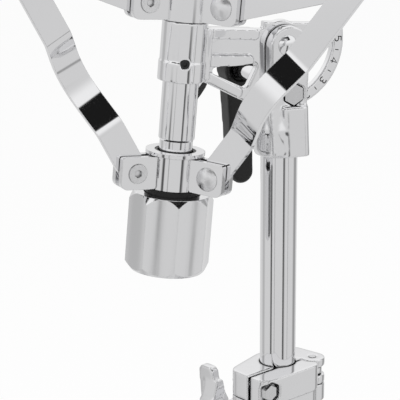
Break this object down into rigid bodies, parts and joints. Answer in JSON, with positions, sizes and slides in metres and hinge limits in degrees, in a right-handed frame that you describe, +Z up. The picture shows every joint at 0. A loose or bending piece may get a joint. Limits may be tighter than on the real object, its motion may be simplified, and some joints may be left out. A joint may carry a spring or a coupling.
{
  "type": "snare drum stand",
  "caption": "Folding tripod stand with a height clamp, a tilter with a numbered arc, and an adjustable basket that grips a snare drum.",
  "frame": {"origin": "on the column's axis at floor level", "axes": "+Z up along the column, the basket stands towards -X, the tilt axis lies along Y and the hexagonal head of the tilt lock faces -Y"},
  "size_m": [0.3801, 0.4236, 0.6708],
  "materials": {
    "chrome": "bright chrome plating on tube and strap",
    "cast_chrome": "chrome plating over castings",
    "plated_steel": "bright plated rod and rivets",
    "plated_alloy": "light die casting, bright chrome plating",
    "black_steel": "black oxide",
    "black_rubber": "moulded, matt",
    "black_plastic": "moulded, satin"
  },
  "bodies": {
    "base": {"base_tube": "chrome", "base_end_cap": "black_rubber", "lower_collar": "cast_chrome", "lower_collar_rivets": "plated_steel", "height_clamp": "cast_chrome", "clamp_bushing": "black_plastic", "clamp_bolt": "plated_steel"},
    "leg_collar": {"leg_collar": "cast_chrome", "leg_collar_rivets": "plated_steel"},
    "leg_collar_screw": {"leg_collar_screw": "cast_chrome"},
    "clamp_wing_nut": {"clamp_wing_nut": "cast_chrome"},
    "column": {"upper_tube": "chrome", "tube_glide": "black_plastic", "tilter_base": "cast_chrome", "tilter_pivot_pin": "chrome", "tilt_lock_bolt": "plated_steel", "tilt_lock_washer": "chrome"},
    "memory_lock": {"memory_lock_body": "cast_chrome", "memory_lock_pin": "plated_steel"},
    "memory_lock_gate": {"memory_lock_gate": "cast_chrome", "memory_lock_bolt": "plated_steel"},
    "tilt_lever": {"tilt_lever": "black_rubber", "tilt_lever_nut": "chrome"},
    "tilter_arm": {"tilter_arm": "chrome", "sleeve_set_screw": "black_steel"},
    "basket": {"basket_shaft": "chrome", "shaft_cap": "black_plastic", "rod_plug": "plated_steel", "basket_rod": "plated_steel", "upper_hub": "chrome", "upper_hub_pins": "chrome"},
    "lower_hub": {"lower_hub": "chrome", "lower_hub_bushing": "black_plastic", "lower_hub_pins": "chrome", "knob_washer": "black_plastic"},
    "adjuster_knob": {"adjuster_knob": "plated_alloy"},
    "brace_1": {"brace_1": "chrome"},
    "leg_1": {"leg_1": "chrome", "leg_rivets_1": "plated_steel", "foot_1": "black_rubber"},
    "arm_1": {"arm_1": "chrome", "arm_rivet_1": "plated_steel", "grip_1": "black_rubber"},
    "strut_1": {"strut_1": "chrome"},
    "brace_2": {"brace_2": "chrome"},
    "leg_2": {"leg_2": "chrome", "leg_rivets_2": "plated_steel", "foot_2": "black_rubber"},
    "arm_2": {"arm_2": "chrome", "arm_rivet_2": "plated_steel", "grip_2": "black_rubber"},
    "strut_2": {"strut_2": "chrome"},
    "brace_3": {"brace_3": "chrome"},
    "leg_3": {"leg_3": "chrome", "leg_rivets_3": "plated_steel", "foot_3": "black_rubber"},
    "arm_3": {"arm_3": "chrome", "arm_rivet_3": "plated_steel", "grip_3": "black_rubber"},
    "strut_3": {"strut_3": "chrome"}
  },
  "joints": [
    {"name": "tripod_fold", "type": "hinge", "parent": "base", "child": "brace_1", "pos_m": [-0.028, 0, 0.04949], "axis": [0, 1, 0], "range_deg": [0, 49]},
    {"name": "leg_1_fold", "type": "hinge", "parent": "brace_1", "child": "leg_1", "pos_m": [-0.09761, 0, 0.0947], "axis": [0, 1, 0], "range_deg": [-98, 0]},
    {"name": "brace_2_fold", "type": "hinge", "parent": "base", "child": "brace_2", "pos_m": [0.014, -0.02425, 0.04949], "axis": [-0.866, -0.5, 0], "range_deg": [0, 49]},
    {"name": "leg_2_fold", "type": "hinge", "parent": "brace_2", "child": "leg_2", "pos_m": [0.04881, -0.08453, 0.0947], "axis": [-0.866, -0.5, 0], "range_deg": [-98, 0]},
    {"name": "brace_3_fold", "type": "hinge", "parent": "base", "child": "brace_3", "pos_m": [0.014, 0.02425, 0.04949], "axis": [0.866, -0.5, 0], "range_deg": [0, 49]},
    {"name": "leg_3_fold", "type": "hinge", "parent": "brace_3", "child": "leg_3", "pos_m": [0.04881, 0.08453, 0.0947], "axis": [0.866, -0.5, 0], "range_deg": [-98, 0]},
    {"name": "leg_collar_fold", "type": "hinge", "parent": "leg_1", "child": "leg_collar", "pos_m": [-0.028, 0, 0.1399], "axis": [0, 1, 0], "range_deg": [0, 49]},
    {"name": "leg_collar_screw_turn", "type": "hinge", "parent": "leg_collar", "child": "leg_collar_screw", "pos_m": [0, 0, 0.1399], "axis": [1, 0, 0], "continuous": true},
    {"name": "clamp_wing_nut_turn", "type": "hinge", "parent": "base", "child": "clamp_wing_nut", "pos_m": [-0.03456, 0.0087, 0.25449], "axis": [-0.342, 0.9397, 0], "continuous": true},
    {"name": "height_slide", "type": "slide", "parent": "base", "child": "column", "axis": [0, 0, 1], "range_m": [0, 0.12]},
    {"name": "memory_lock_slide", "type": "slide", "parent": "column", "child": "memory_lock", "axis": [0, 0, 1], "range_m": [0, 0.1]},
    {"name": "memory_lock_gate_swing", "type": "hinge", "parent": "memory_lock", "child": "memory_lock_gate", "pos_m": [0.02632, -0.00213, 0.27579], "axis": [0, 0, 1], "range_deg": [0, 3]},
    {"name": "tilt", "type": "hinge", "parent": "column", "child": "tilter_arm", "pos_m": [0, 0, 0.52479], "axis": [0, 1, 0], "range_deg": [-5, 75]},
    {"name": "tilt_lever_turn", "type": "hinge", "parent": "column", "child": "tilt_lever", "pos_m": [0.00469, 0.088, 0.49101], "axis": [0, 1, 0], "range_deg": [-100, 15]},
    {"name": "basket_swivel", "type": "hinge", "parent": "tilter_arm", "child": "basket", "pos_m": [-0.069, 0, 0.53119], "axis": [0.0924, 0, 0.9957], "range_deg": [-15, 15]},
    {"name": "knob_turn", "type": "hinge", "parent": "lower_hub", "child": "adjuster_knob", "pos_m": [-0.0799, 0, 0.4137], "axis": [0.0924, 0, 0.9957], "range_deg": [0, 3276.1]},
    {"name": "basket_fold", "type": "slide", "parent": "basket", "child": "lower_hub", "axis": [0.0924, 0, 0.9957], "range_m": [0, 0.0364]},
    {"name": "arm_1_fold", "type": "hinge", "parent": "lower_hub", "child": "arm_1", "pos_m": [-0.10708, -0.00369, 0.44635], "axis": [-0.1213, 0.9925, 0.0113], "range_deg": [0, 18.8]},
    {"name": "strut_1_fold", "type": "hinge", "parent": "basket", "child": "strut_1", "pos_m": [-0.09662, -0.00369, 0.55906], "axis": [-0.1213, 0.9925, 0.0113], "range_deg": [0, 46.37]},
    {"name": "arm_2_fold", "type": "hinge", "parent": "lower_hub", "child": "arm_2", "pos_m": [-0.05897, -0.0242, 0.44188], "axis": [-0.7952, -0.6018, 0.0738], "range_deg": [0, 18.8]},
    {"name": "strut_2_fold", "type": "hinge", "parent": "basket", "child": "strut_2", "pos_m": [-0.04852, -0.0242, 0.5546], "axis": [-0.7952, -0.6018, 0.0738], "range_deg": [0, 46.37]},
    {"name": "arm_3_fold", "type": "hinge", "parent": "lower_hub", "child": "arm_3", "pos_m": [-0.06534, 0.02789, 0.44248], "axis": [0.9166, -0.3907, -0.085], "range_deg": [0, 18.8]},
    {"name": "strut_3_fold", "type": "hinge", "parent": "basket", "child": "strut_3", "pos_m": [-0.05489, 0.02789, 0.55519], "axis": [0.9166, -0.3907, -0.085], "range_deg": [0, 46.37]}
  ],
  "couplings": [
    {"joint": "leg_1_fold", "follows": "tripod_fold", "ratio": -2},
    {"joint": "brace_2_fold", "follows": "tripod_fold", "ratio": 1},
    {"joint": "leg_2_fold", "follows": "tripod_fold", "ratio": -2},
    {"joint": "brace_3_fold", "follows": "tripod_fold", "ratio": 1},
    {"joint": "leg_3_fold", "follows": "tripod_fold", "ratio": -2},
    {"joint": "leg_collar_fold", "follows": "tripod_fold", "ratio": 1},
    {"joint": "knob_turn", "follows": "basket_fold", "rad_per_m": 1570.8},
    {"joint": "arm_1_fold", "follows": "basket_fold", "rad_per_m": 9.0136},
    {"joint": "strut_1_fold", "follows": "basket_fold", "rad_per_m": 22.228},
    {"joint": "arm_2_fold", "follows": "basket_fold", "rad_per_m": 9.0136},
    {"joint": "strut_2_fold", "follows": "basket_fold", "rad_per_m": 22.228},
    {"joint": "arm_3_fold", "follows": "basket_fold", "rad_per_m": 9.0136},
    {"joint": "strut_3_fold", "follows": "basket_fold", "rad_per_m": 22.228}
  ]
}
